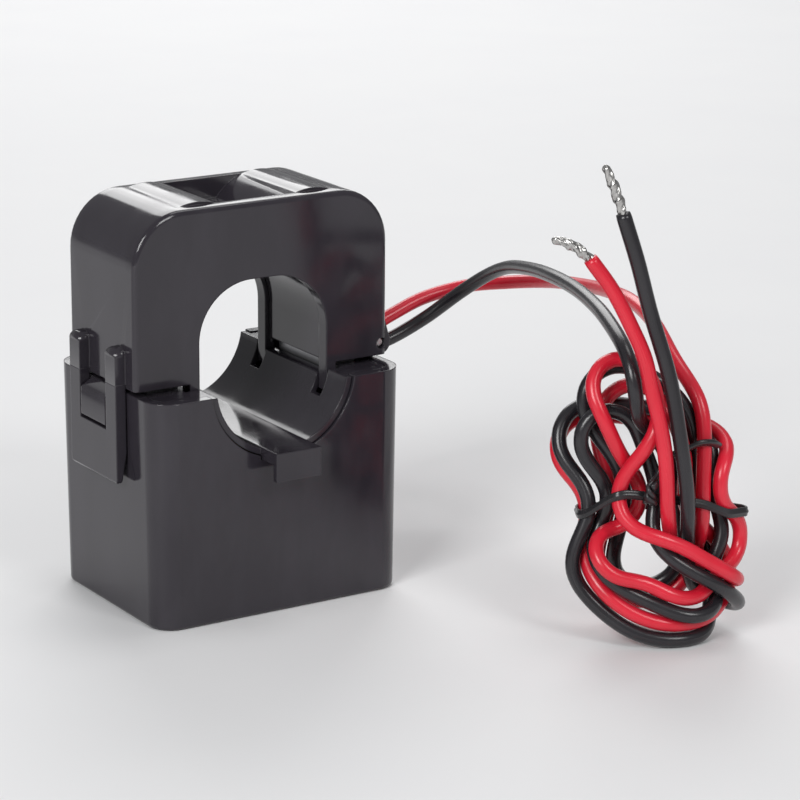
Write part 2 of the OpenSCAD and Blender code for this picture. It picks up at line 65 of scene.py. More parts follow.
def camera(place, azimuth, elevation, roll, lens):
    """Camera at place in mm. Azimuth is counted from +Y towards +X, elevation is how far it looks down."""
    az, el, ro = (math.radians(a) for a in (azimuth, elevation, roll))
    ahead = Vector((math.sin(az) * math.cos(el), math.cos(az) * math.cos(el), -math.sin(el)))
    level = Vector((math.cos(az), -math.sin(az), 0))
    above = level.cross(ahead)
    right = level * math.cos(ro) + above * math.sin(ro)
    up = above * math.cos(ro) - level * math.sin(ro)
    data = bpy.data.cameras.new("camera")
    data.lens = lens
    data.sensor_width = 36
    data.clip_start, data.clip_end = 0.01, 20
    cam = bpy.data.objects.new("camera", data)
    turn = Matrix((right, up, -ahead)).transposed().to_4x4()
    cam.matrix_world = Matrix.Translation(Vector(place) * MM) @ turn
    bpy.context.scene.collection.objects.link(cam)
    bpy.context.scene.camera = cam


camera(place=(-246.5, -435.0, 173.2), azimuth=32.72, elevation=15.86, roll=0.43, lens=143.1)

# ---------------------------------------------------------------- meshes


def piece_from(name, points, faces, body, uv=None):
    """Mesh object from arrays of points in metres and faces; uv holds one pair for each corner."""
    mesh = bpy.data.meshes.new(name)
    mesh.from_pydata(np.asarray(points, float).tolist(), [], [list(map(int, f)) for f in faces])
    if uv is not None:
        layer = mesh.uv_layers.new(name="UVMap")
        layer.data.foreach_set("uv", np.asarray(uv, np.float32).ravel())
    mesh.polygons.foreach_set("use_smooth", np.ones(len(mesh.polygons), bool))
    mesh.update()
    obj = bpy.data.objects.new(name, mesh)
    bpy.context.scene.collection.objects.link(obj)
    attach(obj, body)
    return obj


def tangents(line):
    """Unit direction of a line at each of its points."""
    along = np.gradient(line, axis=0)
    return along / np.linalg.norm(along, axis=1)[:, None]


def carried_axes(line):
    """Two unit axes square to a line at each point, carried along it without twist: each step takes the
    last axis and drops the part of it that runs along the new direction."""
    t = tangents(line)
    first = np.cross(t[0], (0, 0, 1.0) if abs(t[0][2]) < 0.9 else (1.0, 0, 0))
    a = np.empty_like(line)
    a[0] = first / np.linalg.norm(first)
    for i in range(1, len(line)):
        v = a[i - 1] - t[i] * (a[i - 1] @ t[i])
        a[i] = v / np.linalg.norm(v)
    return a, np.cross(t, a)


def sweep(line, radius, sides, wave=None):
    """Closed tube along a line, as points, faces and corner UVs.

    Point (i, k) is line[i] + r(i, k) * (cos p * a + sin p * b), with p = 2 pi k / sides and a, b the
    carried axes. radius is one number or one for each point of the line. wave(s, p) multiplies r. The
    ends close on a middle point. U is the length along the line, V the way round, both in metres."""
    line = np.asarray(line, float)
    n = len(line)
    a, b = carried_axes(line)
    p = 2 * np.pi * np.arange(sides) / sides
    r = np.broadcast_to(np.asarray(radius, float), (n,))[:, None] * np.ones(sides)
    s = np.r_[0, np.cumsum(np.linalg.norm(np.diff(line, axis=0), axis=1))]
    if wave is not None:
        r = r * wave(s[:, None], p[None])
    outward = np.cos(p)[None, :, None] * a[:, None] + np.sin(p)[None, :, None] * b[:, None]
    ring = line[:, None] + r[..., None] * outward
    points = np.vstack([ring.reshape(-1, 3), line[:1], line[-1:]])
    i, k = np.meshgrid(np.arange(n - 1), np.arange(sides), indexing="ij")
    this, after, beside = i * sides, (i + 1) * sides, (k + 1) % sides
    walls = np.stack([this + k, this + beside, after + beside, after + k], -1).reshape(-1, 4)
    round_step = 2 * np.pi * np.mean(r) / sides
    u = np.stack([s[i], s[i], s[i + 1], s[i + 1]], -1)
    v = np.stack([k, k + 1, k + 1, k], -1) * round_step
    wall_uv = np.stack([u, v], -1).reshape(-1, 2)
    rim = np.arange(sides)
    beside = (rim + 1) % sides
    last_rim = (n - 1) * sides
    start = np.stack([np.full(sides, n * sides), beside, rim], -1)
    end = np.stack([np.full(sides, n * sides + 1), last_rim + rim, last_rim + beside], -1)
    cap_uv = np.zeros((6 * sides, 2))
    return points, walls.tolist() + start.tolist() + end.tolist(), np.vstack([wall_uv, cap_uv])


def join_sweeps(parts):
    """One set of points, faces and corner UVs from several."""
    points, faces, uv, base = [], [], [], 0
    for p, f, w in parts:
        points.append(p)
        faces += [[base + k for k in face] for face in f]
        uv.append(w)
        base += len(p)
    return np.vstack(points), faces, np.vstack(uv)


# ---------------------------------------------------------------- cord routes, in mm

LEAD_D = 2.4
LINE_STEP = 1.0
# The part's routes: each lead from its splice to the bundle, its free end and its bared strand
RED_IN = [[18, 13.3, 33.2], [18, 16, 33.2], [18.4, 20, 33.2], [21, 24.5, 32.4], [27, 27.5, 31],
          [36, 28.5, 30.2], [43.5, 29, 30.4], [49.5, 29, 32.6], [56, 28.5, 35], [63.5, 26, 36.8],
          [68, 19, 38.4], [69.3, 9, 40.5], [67, -3, 42.8], [63, -17, 45.2], [58.5, -30, 46.8],
          [54.5, -41, 46.5], [51.5, -49, 44.5], [50.2, -53.8, 41.8], [50.5, -56.8, 38.8]]
BLACK_IN = [[18, 13.3, 29.6], [18, 16, 29.6], [18.2, 20, 29.4], [20.5, 25, 28], [27, 28, 26.8],
            [38, 28.5, 26.8], [47.5, 28, 28.3], [55, 26.5, 31.8], [60, 23, 36.5], [61.8, 17.5, 40.5],
            [61, 9.5, 43.9], [58, -2, 46.4], [54.4, -13.4, 48], [51, -24, 48.8], [47, -34.5, 49.2],
            [42.6, -45, 49], [39, -54.2, 47], [37.6, -58.9, 43.9]]
RED_OUT = [[39.2, -61.6, 34], [39.2, -61.6, 42], [38.2, -60.9, 47], [36.6, -59.7, 51.5],
           [33.9, -58.1, 57.5], [30.8, -56.3, 62.5]]
BLACK_OUT = [[42, -63.5, 34], [41.7, -62.8, 43.5], [38.8, -61, 54.5], [37, -60, 62], [34.9, -58.8, 69.5]]
RED_STRAND = [[30.8, -56.3, 62.5], [28.4, -54.9, 64.6], [25.7, -53.3, 65.6]]
BLACK_STRAND = [[34.9, -58.8, 69.5], [33.8, -58, 73.3], [32.4, -57.2, 77]]

# The bundle's place. Points in it are (across, towards the front, up).
BUNDLE_AT = np.array([44.0, -57.0, 0.0])
BUNDLE_TURN = math.radians(-30)
ACROSS = np.array([math.cos(BUNDLE_TURN), math.sin(BUNDLE_TURN), 0])
FRONT = np.array([math.sin(BUNDLE_TURN), -math.cos(BUNDLE_TURN), 0])
TIE_Z = 21.5


def in_bundle(p):
    """Points given as (across, towards the front, up) in the bundle, as points of the part's frame."""
    p = np.asarray(p, float)
    return BUNDLE_AT + p[..., :1] * ACROSS + p[..., 1:2] * FRONT + p[..., 2:3] * np.array([0, 0, 1.0])


def lower_turn(level, right, left):
    """Turn of a lead through the bundle's lower half, from its place at the tie on the right to the one
    on the left. Level 0 is the lowest turn: each level more lies higher and slopes more to the right."""
    return [(*right, TIE_Z),
            (9.8, -2.6, 15.2 + 0.3 * level),
            (11.0, -1.6, 8.2 + 1.1 * level),
            (9.9, 2.2 + 0.3 * level, 3.4 + 1.4 * level),
            (6.0, 5.6, 1.9 + 2.1 * level),
            (1.0, 6.4, 1.2 + 2.9 * level),
            (-4.5, 5.8, 2.8 + 3.4 * level),
            (-9.0 + 0.4 * level, 4.2, 6.4 + 3.1 * level),
            (-11.8 + 0.5 * level, 2.4, 11.0 + 2.2 * level),
            (left[0] - 0.8, left[1] + 0.4, 18.0),
            (*left, TIE_Z)]


def black_turns():
    """The black lead's way through the bundle: back turn, two lower turns between upper ones, last turn."""
    back = [(-3.4, 5, 40.4), (-2.6, 4.2, 36.8), (-1.2, 1.8, 33), (1.4, -0.8, 28.5), (3.6, -1.4, 24.8),
            (4, -1.4, TIE_Z), (5.6, -3, 15.5), (4.6, -4.8, 10), (0.6, -5.2, 6.6), (-4, -4.6, 7.6),
            (-6.2, -2.8, 12), (-5.6, -1.4, 17)]
    tall = [(-4.8, -1.2, TIE_Z), (-6.4, -1, 28), (-9.6, -2, 34.5), (-11.2, -3, 38.6), (-9.8, -3.6, 41.4),
            (-6.4, -4, 42.8), (-1.8, -4, 41.4), (3, -3.6, 37.6), (6, -3, 32.5), (6.6, -2, 26.6)]
    wide = [(-11.6, -0.6, 24.6), (-14, -2.6, 28.2), (-15, -4.2, 31.8), (-13, -5.2, 34.8), (-8, -5.8, 35.8),
            (-2, -6, 35.6), (4, -5.6, 34.6), (8, -4.6, 31.6), (9.4, -3, 27)]
    last = [(-8.8, 0.8, 25.6), (-10.8, 0.4, 29.4), (-11.2, 0, 33), (-9, 0.2, 35.8), (-5.2, 0.6, 36.2),
            (-2.4, 1, 33.4), (-1.2, 1.4, 28.5), (-1, 1.2, TIE_Z), (-1.8, 3.2, 19.4), (1.2, 6, 16),
            (6.2, 6, 11.6), (10.2, 4, 8.6), (11.8, 0.6, 7), (10, -3, 7.4), (6.4, -2.4, 9.6),
            (4.8, 2, 14.2), (4.6, 5.2, 20.4), (4.1, 6.4, 26), (3.4, 6.6, 30)]
    return [*back, *tall, *lower_turn(0, (6.6, -1.3), (-9.5, 1.2)), *wide,
            *lower_turn(2, (9.2, -1.4), (-7.2, 1.2)), *last]


def red_turns():
    """The red lead's way through the bundle, laid as the black one's."""
    back = [(6.2, -1.8, 34.5), (7.6, 0, 30.5), (7.4, 0.8, 26), (6.8, 1.2, TIE_Z), (8.2, -2.2, 15.5),
            (7.6, -4.8, 9.4), (3, -5.4, 4.6), (-3, -5.2, 4.4), (-7.4, -4.2, 8.6), (-8, -2.8, 14)]
    tall = [(-6.6, -1.4, TIE_Z), (-7.4, -2.6, 27), (-9, -4, 31.5), (-8.6, -5.2, 35.6), (-4.6, -6, 38.4),
            (0, -5.8, 38), (4, -3.6, 34.6), (5, -0.6, 29.5)]
    wide = [(-12.4, -3, 24.6), (-14.6, -4.8, 28.2), (-14.4, -6.2, 31.8), (-11, -7.2, 33.6),
            (-5, -7.6, 33.8), (2, -7.2, 33.6), (8, -5.6, 32.6), (11, -3.2, 29.8), (11.2, -0.6, 26)]
    last = [(-5, 1.8, 28), (-8, 1.6, 35), (-9.6, 0, 40.2), (-8.8, -1.4, 43.8), (-6.2, -2, 45.2),
            (-3, -1.6, 43.2), (-1, 1.4, 39), (-2, 3.4, 35), (-3.6, 4.2, 30), (-5.4, 4, 25),
            (-6.6, 4.8, 21.8), (-3.6, 6.8, 20.6), (1.7, 7, 18.2), (6.5, 6.6, 14.4), (10.6, 4.2, 11.2),
            (11.9, 0.8, 9.8), (10.2, -2.8, 10.6), (6.6, -2.4, 13), (3, 1.6, 15.6), (1.4, 4.8, 19.6),
            (1.2, 6.2, 24.5), (0.6, 6.4, 30)]
    return [*back, *tall, *lower_turn(1, (4.3, 1.2), (-9.9, -1.2)), *wide,
            *lower_turn(3, (9.4, 1.2), (-3.2, 1.2)), *last]


def evenly(line, step):
    """The line as points step apart."""
    run = np.r_[0, np.cumsum(np.linalg.norm(np.diff(line, axis=0), axis=1))]
    at = np.linspace(0, run[-1], max(2, int(round(run[-1] / step)) + 1))
    return np.stack([np.interp(at, run, line[:, k]) for k in range(3)], -1)


def smooth_line(points, step):
    """Curve through the points as points step apart. Between points p1 and p2 it is the centripetal
    Catmull-Rom cubic of p0, p1, p2, p3, whose knots are the square roots of the distances between them."""
    p = np.asarray(points, float)
    p = np.vstack([2 * p[0] - p[1], p, 2 * p[-1] - p[-2]])
    gap = np.linalg.norm(np.diff(p, axis=0), axis=1) ** 0.5
    g0, g1, g2 = (g[:, None, None] for g in (gap[:-2], gap[1:-1], gap[2:]))
    p0, p1, p2, p3 = (q[:, None] for q in (p[:-3], p[1:-2], p[2:-1], p[3:]))
    parts = 24
    t = g1 * (np.arange(parts) / parts)[None, :, None]
    a1 = p0 + (p1 - p0) * (t + g0) / g0
    a2 = p1 + (p2 - p1) * t / g1
    a3 = p2 + (p3 - p2) * (t - g1) / g2
    b1 = a1 + (a2 - a1) * (t + g0) / (g0 + g1)
    b2 = a2 + (a3 - a2) * t / (g1 + g2)
    line = b1 + (b2 - b1) * t / g1
    return evenly(np.vstack([line.reshape(-1, 3), p[-2:-1]]), step)


def settle(lines, held, gap, bend, floor, rounds):
    """Lays the leads against each other. Each round pushes points of the lines that are closer than gap
    apart, lifts what is below the floor, fairs each line (a small share of its fourth difference), evens
    the spacing and opens what bends tighter than radius bend, by its chords over four and six steps.
    Points marked in held stay. Points of one lead count as meeting when they are more than own_steps
    apart along it, and pairs within margin of meeting are watched until the next search."""
    search_every, margin, own_steps = 10, 1.2, 5
    push_share, fair_share, even_share, open_share = 0.6, 0.1, 0.25, 0.25
    sizes = [len(line) for line in lines]
    first = np.r_[0, np.cumsum(sizes)]
    owner = np.repeat(np.arange(len(lines)), sizes)
    order = np.arange(first[-1])
    held = np.concatenate(held)
    at = np.vstack(lines)
    reaches = [(reach, 2 * bend * math.sin(reach * LINE_STEP / bend)) for reach in (3, 2)]
    for turn in range(rounds):
        if turn % search_every == 0:
            i, j = np.nonzero(np.sum((at[:, None] - at[None]) ** 2, -1) < (gap + margin) ** 2)
            keep = (i < j) & ((owner[i] != owner[j]) | (order[j] - order[i] > own_steps))
            i, j = i[keep], j[keep]
        d = at[i] - at[j]
        far = np.maximum(np.linalg.norm(d, axis=1), 1e-6)
        short = np.maximum(gap - far, 0)
        push = d / far[:, None] * short[:, None] / 2
        move, hits = np.zeros_like(at), np.zeros(len(at))
        for end, sign in ((i, 1), (j, -1)):
            for axis in range(3):
                move[:, axis] += sign * np.bincount(end, push[:, axis], len(at))
            hits += np.bincount(end, short > 0, len(at))
        at = at + push_share * move / np.sqrt(np.maximum(hits, 1))[:, None] * ~held[:, None]
        at[:, 2] = np.maximum(at[:, 2], floor)
        for a, b in zip(first[:-1], first[1:]):
            q, stay = at[a:b], held[a:b, None]
            turned = np.zeros_like(q)
            turned[1:-1] = q[:-2] + q[2:] - 2 * q[1:-1]
            kink = np.zeros_like(q)
            kink[2:-2] = turned[1:-3] + turned[3:-1] - 2 * turned[2:-2]
            q = q - fair_share * kink * ~stay
            step = np.diff(q, axis=0)
            size = np.linalg.norm(step, axis=1)[:, None]
            even = step / size * (size - size.mean()) * even_share
            q[:-1] += even * ~stay[:-1]
            q[1:] -= even * ~stay[1:]
            for reach, chord in reaches:
                span = q[2 * reach:] - q[:-2 * reach]
                size = np.linalg.norm(span, axis=1)[:, None]
                spread = span / size * np.maximum(chord - size, 0) * open_share
                q[2 * reach:] += spread * ~stay[2 * reach:]
                q[:-2 * reach] -= spread * ~stay[:-2 * reach]
            at[a:b] = q
    return [at[a:b] for a, b in zip(first[:-1], first[1:])]


def lay_leads():
    """Centrelines of the two leads, end to end, in mm. Their runs outside the bundle are held in place."""
    lines, held = [], []
    for coming, turns, going in ((RED_IN, red_turns(), RED_OUT), (BLACK_IN, black_turns(), BLACK_OUT)):
        line = smooth_line(np.vstack([coming, in_bundle(turns), going[1:]]), LINE_STEP)
        a = np.argmin(np.linalg.norm(line - np.array(coming[-3]), axis=1))
        b = np.argmin(np.linalg.norm(line - np.array(going[1]), axis=1))
        order = np.arange(len(line))
        lines.append(line)
        held.append((order < a) | (order > b))
    return settle(lines, held, gap=LEAD_D + 0.15, bend=7, floor=LEAD_D / 2, rounds=500)


def lead(name, line, *nodes):
    """Insulated lead: a round tube along its line, square cut, with slightly shrunk ends."""
    tube_step, path_step, shrink, sides = 0.75, 1.5, 0.93, 14
    fine = evenly(line, tube_step)
    radius = np.full(len(fine), LEAD_D / 2)
    radius[[0, -1]] *= shrink
    points, faces, uv = sweep(fine * MM, radius * MM, sides)
    obj = piece_from(name, points, faces, "case", uv)
    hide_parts(*nodes)


red_line, black_line = lay_leads()
lead("red_insulation", red_line, "red_lead", "red_lead_end", "lead_hank")
lead("black_insulation", black_line, "black_lead", "black_lead_end")


def tinned_strand(name, route, node):
    """Bared end of a lead: strands twisted together and tinned into one piece.

    Its section at length s and angle p has the radius R(s) (1 + 0.17 cos(3 q) + 0.05 cos(15 q)) with
    q = p - 2 pi s / lay: three coarse strands of fine wires. R swells from the cut insulation, which it
    starts sunk mm inside, to the middle, and shrinks to a blunt tip over the last share tip of its length,
    with two slow waves where the tin has run together."""
    lay, thick, step, sides = 7.5, 0.68, 0.12, 48
    sunk, tip = 0.8, 0.06
    spine = smooth_line(route, step)
    spine = evenly(np.vstack([spine[0] - tangents(spine)[0] * sunk, spine]), step)
    t = np.linspace(0, 1, len(spine))
    size = 0.78 + 0.34 * np.sin(np.pi * np.clip(1.1 * t, 0, 1)) ** 0.8
    size = thick * (size + 0.07 * np.sin(23 * t) + 0.05 * np.sin(41 * t + 1))
    size *= np.clip((1 - t) / tip, 0.02, 1) ** 0.4

    def wires(s, p):
        q = p - 2 * np.pi * s / (lay * MM)
        return 1 + 0.17 * np.cos(3 * q) + 0.05 * np.cos(15 * q)

    points, faces, uv = sweep(spine * MM, size * MM, sides, wave=wires)
    obj = piece_from(name, points, faces, "case", uv)
    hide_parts(node)


tinned_strand("red_strand", RED_STRAND, "red_tinned_end")
tinned_strand("black_strand", BLACK_STRAND, "black_tinned_end")

# ---------------------------------------------------------------- twist tie


def band_height(across, front):
    """Height of the tie's middle: level behind, and in front up from the left to near the knot and down
    again on the right."""
    rise = np.interp(across, [-11.5, -8.8, -5.2, -1.4, 2, 5, 7.5, 9.5, 11.5],
                     [20.4, 24, 25.6, 26, 25.3, 24, 22.6, 21.2, 20.4])
    return np.where(front > 0, rise, 20.0)


def tie_loop(lines, lift):
    """Closed line of the tie in the bundle's own axes: the band pulled taut round the turns at its height.
    In each direction it touches the turn that reaches furthest, lift away from its middle. The first
    run_in and the last run_out points of each lead are left out of that."""
    run_in, run_out = 60, 78
    half_height, directions, step, rounds = 1.3, 361, 0.5, 10
    points = []
    for line in lines:
        inside = line[run_in:-run_out] - BUNDLE_AT
        points.append(np.stack([inside @ ACROSS, inside @ FRONT, inside[:, 2]], -1))
    p = np.vstack(points)
    p = p[np.abs(p[:, 2] - band_height(p[:, 0], p[:, 1])) < half_height]
    turn = np.linspace(0, 2 * np.pi, directions)
    way = np.stack([np.cos(turn), np.sin(turn)], -1)
    touch = p[np.argmax(way @ p[:, :2].T, axis=1), :2]
    flat = touch + lift * way
    loop = np.column_stack([flat, band_height(flat[:, 0], flat[:, 1])])
    loop = evenly(loop, step)[:-1]
    for _ in range(rounds):
        loop[:, 2] = (np.roll(loop[:, 2], 1) + loop[:, 2] + np.roll(loop[:, 2], -1)) / 3
    return loop


def ribbon_ring(loop, width, thick, core):
    """Flat band along a closed level loop, as points and faces, with the wire felt along its middle.

    At height y in the band its faces stand at thick / 2 + core * exp(-(7 y / width)^2) from the loop on
    either side, and its edges are round."""
    y = width * np.array([-0.5, -0.42, -0.2, -0.08, 0, 0.08, 0.2, 0.42, 0.5])
    x = thick / 2 * np.array([0.4, 1, 1, 1, 1, 1, 1, 1, 0.4]) + core * np.exp(-(7 * y / width) ** 2)
    section = np.vstack([np.column_stack([x, y]), np.column_stack([-x, y])[::-1]])
    along = np.roll(loop, -1, axis=0) - np.roll(loop, 1, axis=0)
    along[:, 2] = 0
    along /= np.linalg.norm(along, axis=1)[:, None]
    out = np.column_stack([along[:, 1], -along[:, 0], np.zeros(len(loop))])
    n, m = len(loop), len(section)
    up = np.array([0, 0, 1.0])
    ring = loop[:, None] + section[None, :, :1] * out[:, None] + section[None, :, 1:] * up
    i, k = np.meshgrid(np.arange(n), np.arange(m), indexing="ij")
    i2, k2 = (i + 1) % n, (k + 1) % m
    faces = np.stack([i * m + k, i2 * m + k, i2 * m + k2, i * m + k2], -1).reshape(-1, 4)
    return ring.reshape(-1, 3), faces.tolist()


def twist_tie():
    """The tie: the band round the waist, in front its two ends twisted together, and one end's tail, which
    lies behind the free ends and over the lead on the right. The ends wind twists times round a bowed
    spine, twist_r from it, and their section is an oval: radius wire_r times 1 + 0.35 cos 2p."""
    knot_across, twists, twist_r, wire_r, wire_sides, step = -1.6, 1.3, 0.5, 0.52, 12, 0.3
    loop = tie_loop((red_line, black_line), lift=LEAD_D / 2 + 0.3)
    band, faces = ribbon_ring(loop, width=1.5, thick=0.4, core=0.2)
    knot = loop[np.argmin(np.abs(loop[:, 0] - knot_across) + 20 * (loop[:, 1] < 0))]
    s = np.linspace(0, 1, 60)[:, None]
    foot, climb, bow = np.array([[0.1, 0.7, -0.9], [0.5, 0.5, 3.6], [-0.4, 0.3, 0]])
    spine = knot + foot + s * climb + np.sin(3 * s) * bow
    parts = [(in_bundle(band) * MM, faces, np.zeros((4 * len(faces), 2)))]
    for side in (0, 1):
        turn = 2 * np.pi * (twists * s + side / 2)
        line = spine + twist_r * np.hstack([np.cos(turn), np.sin(turn), 0 * turn])
        if side:
            tail = [line[-1] + (0.5, -0.9, 0.5), (1.2, 3.7, 30.2), (4.4, 2.7, 31.4), (6.6, 2.3, 32.2),
                    (8.4, 1.5, 32), (9.7, -0.2, 31)]
            line = smooth_line(np.vstack([line[::6], tail]), step)
        line = in_bundle(evenly(line, step))
        parts.append(sweep(line * MM, wire_r * MM, wire_sides, wave=lambda s, p: 1 + 0.35 * np.cos(2 * p)))
    points, faces, uv = join_sweeps(parts)
    obj = piece_from("tie", points, faces, "case", uv)
    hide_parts("twist_tie")


twist_tie()

# ---------------------------------------------------------------- case


def dressed(node, name, body, sharp=32):
    """Copy of a CAD node as one merged mesh: flats are single faces, curved walls are shaded smooth, and
    each corner's normal is the mean of the faces round it weighted by their areas, so that flats stay flat.
    merge and sliver are in mm, flat and sharp in degrees."""
    merge, sliver, flat = 0.03, 0.02, 0.4
    bm = bmesh.new()
    bm.from_mesh(frame["nodes"][node].data)
    bmesh.ops.remove_doubles(bm, verts=bm.verts, dist=merge * MM)
    bmesh.ops.dissolve_degenerate(bm, edges=bm.edges, dist=sliver * MM)
    bmesh.ops.dissolve_limit(bm, angle_limit=math.radians(flat), verts=bm.verts, edges=bm.edges)
    mesh = bpy.data.meshes.new(name)
    bm.to_mesh(mesh)
    bm.free()
    mesh.polygons.foreach_set("use_smooth", np.ones(len(mesh.polygons), bool))
    mesh.set_sharp_from_angle(angle=math.radians(sharp))
    obj = bpy.data.objects.new(name, mesh)
    bpy.context.scene.collection.objects.link(obj)
    shading = obj.modifiers.new("flat_flats", "WEIGHTED_NORMAL")
    shading.keep_sharp = True
    shading.mode = "FACE_AREA"
    shading.weight = 50
    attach(obj, body)
    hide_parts(node)
    return obj


HOUSING = {"lower_case": "case", "bore_saddle": "case", "upper_case": "cap", "cap_liner": "cap",
           "latch_arm": "latch"}
housing = [dressed(node, node + "_shell", body) for node, body in HOUSING.items()]

# ---------------------------------------------------------------- finishes


def node_tree(name):
    """A new material, its node tree and its Principled shader."""
    mat = bpy.data.materials.new(name)
    mat.use_nodes = True
    return mat, mat.node_tree, mat.node_tree.nodes["Principled BSDF"]


def add(tree, kind, **values):
    """A node of that kind with inputs and settings given by name."""
    node = tree.nodes.new(kind)
    for key, value in values.items():
        if key in node.inputs:
            node.inputs[key].default_value = value
        else:
            setattr(node, key, value)
    return node


def group(name, inputs, outputs):
    """An empty shader group with float inputs {name: value} and outputs {name: socket type}."""
    tree = bpy.data.node_groups.new(name, "ShaderNodeTree")
    for key, value in inputs.items():
        socket = tree.interface.new_socket(key, in_out="INPUT", socket_type="NodeSocketFloat")
        socket.default_value = value
    tree.interface.new_socket("Vector", in_out="INPUT", socket_type="NodeSocketVector")
    for key, kind in outputs.items():
        tree.interface.new_socket(key, in_out="OUTPUT", socket_type=kind)
    return tree, tree.nodes.new("NodeGroupInput"), tree.nodes.new("NodeGroupOutput")


def noise_over(tree, vector, scale, stretch=(1, 1, 1)):
    """Noise over a vector that is first multiplied by stretch, with cells of about 1 / scale."""
    mapping = add(tree, "ShaderNodeMapping", Scale=stretch)
    noise = add(tree, "ShaderNodeTexNoise", Scale=scale, Detail=3.0, Roughness=0.55)
    tree.links.new(vector, mapping.inputs["Vector"])
    tree.links.new(mapping.outputs["Vector"], noise.inputs["Vector"])
    return noise


def moulded_skin():
    """Group: the skin of a moulding. Height goes from a slow swell to a fine grain as Grain goes from 0 to
    1, and Marks is a soft mask of the places that handling has changed."""
    tree, start, end = group("moulded_skin", {"Grain": 0.5},
                             {"Height": "NodeSocketFloat", "Marks": "NodeSocketFloat"})
    grain = noise_over(tree, start.outputs["Vector"], 2600)
    swell = noise_over(tree, start.outputs["Vector"], 70)
    marks = noise_over(tree, start.outputs["Vector"], 130, (1, 1, 0.35))
    mix = add(tree, "ShaderNodeMix", data_type="FLOAT")
    tree.links.new(start.outputs["Grain"], mix.inputs[0])
    tree.links.new(swell.outputs["Fac"], mix.inputs[2])
    tree.links.new(grain.outputs["Fac"], mix.inputs[3])
    ramp = add(tree, "ShaderNodeMapRange")
    ramp.inputs["From Min"].default_value = 0.42
    ramp.inputs["From Max"].default_value = 0.72
    tree.links.new(marks.outputs["Fac"], ramp.inputs["Value"])
    tree.links.new(mix.outputs[0], end.inputs["Height"])
    tree.links.new(ramp.outputs["Result"], end.inputs["Marks"])
    return tree


SKIN = moulded_skin()


def use_group(tree, which, vector, **values):
    """A group placed in a material's tree, reading that vector."""
    node = tree.nodes.new("ShaderNodeGroup")
    node.node_tree = which
    for key, value in values.items():
        node.inputs[key].default_value = value
    tree.links.new(vector, node.inputs["Vector"])
    return node


def bump(tree, shader, height, depth):
    """Bump of that depth in metres from a height of 0 to 1."""
    node = add(tree, "ShaderNodeBump", Distance=depth, Strength=1.0)
    tree.links.new(height, node.inputs["Height"])
    tree.links.new(node.outputs["Normal"], shader.inputs["Normal"])
    return node


def between(tree, mask, low, high, target):
    """target = low where the mask is 0, high where it is 1."""
    node = add(tree, "ShaderNodeMapRange")
    node.inputs["To Min"].default_value = low
    node.inputs["To Max"].default_value = high
    tree.links.new(mask, node.inputs["Value"])
    tree.links.new(node.outputs["Result"], target)


def tint(tree, mask, dark, light, target):
    """target colour = dark where the mask is 0, light where it is 1."""
    node = add(tree, "ShaderNodeMix", data_type="RGBA")
    node.inputs[6].default_value = (*dark, 1)
    node.inputs[7].default_value = (*light, 1)
    tree.links.new(mask, node.inputs[0])
    tree.links.new(node.outputs[2], target)


def plastic(name, dark, light, rough, grain, depth, edge):
    """Moulded plastic: two close tones, gloss that varies with handling, a fine skin, and edges that are
    shaded as if rounded by edge mm."""
    mat, tree, shader = node_tree(name)
    place = add(tree, "ShaderNodeTexCoord")
    skin = use_group(tree, SKIN, place.outputs["Object"], Grain=grain)
    tint(tree, skin.outputs["Marks"], dark, light, shader.inputs["Base Color"])
    between(tree, skin.outputs["Marks"], rough[0], rough[1], shader.inputs["Roughness"])
    rounded = add(tree, "ShaderNodeBevel", samples=6, Radius=edge * MM)
    height = bump(tree, shader, skin.outputs["Height"], depth)
    tree.links.new(rounded.outputs["Normal"], height.inputs["Normal"])
    return mat


def insulation(name, dark, light, rough):
    """Extruded insulation: faint lines along the lead, from noise on the piece's own UV, and soft marks."""
    mat, tree, shader = node_tree(name)
    place = add(tree, "ShaderNodeTexCoord")
    lines = noise_over(tree, place.outputs["UV"], 900, (0.06, 1, 1))
    skin = use_group(tree, SKIN, place.outputs["Object"], Grain=0.3)
    tint(tree, skin.outputs["Marks"], dark, light, shader.inputs["Base Color"])
    between(tree, lines.outputs["Fac"], rough[0], rough[1], shader.inputs["Roughness"])
    bump(tree, shader, lines.outputs["Fac"], 0.00002)
    shader.inputs["Coat Weight"].default_value = 0.12
    shader.inputs["Coat Roughness"].default_value = 0.25
    return mat


def bright_metal(name, colour, dull, rough, scale):
    """Metal with patches of duller surface."""
    mat, tree, shader = node_tree(name)
    place = add(tree, "ShaderNodeTexCoord")
    patch = noise_over(tree, place.outputs["Object"], scale)
    tint(tree, patch.outputs["Fac"], dull, colour, shader.inputs["Base Color"])
    between(tree, patch.outputs["Fac"], rough[1], rough[0], shader.inputs["Roughness"])
    bump(tree, shader, patch.outputs["Fac"], 0.00002)
    shader.inputs["Metallic"].default_value = 1.0
    return mat


def stripes(tree, vector, axis, period):
    """Height of 0 to 1 that waves along an axis of the vector with that period in metres."""
    split = add(tree, "ShaderNodeSeparateXYZ")
    angle = add(tree, "ShaderNodeMath", operation="MULTIPLY")
    wave = add(tree, "ShaderNodeMath", operation="SINE")
    half = add(tree, "ShaderNodeMapRange")
    half.inputs["From Min"].default_value = -1
    angle.inputs[1].default_value = 2 * math.pi / period
    tree.links.new(vector, split.inputs[0])
    tree.links.new(split.outputs[axis], angle.inputs[0])
    tree.links.new(angle.outputs[0], wave.inputs[0])
    tree.links.new(wave.outputs[0], half.inputs["Value"])
    return half.outputs["Result"]


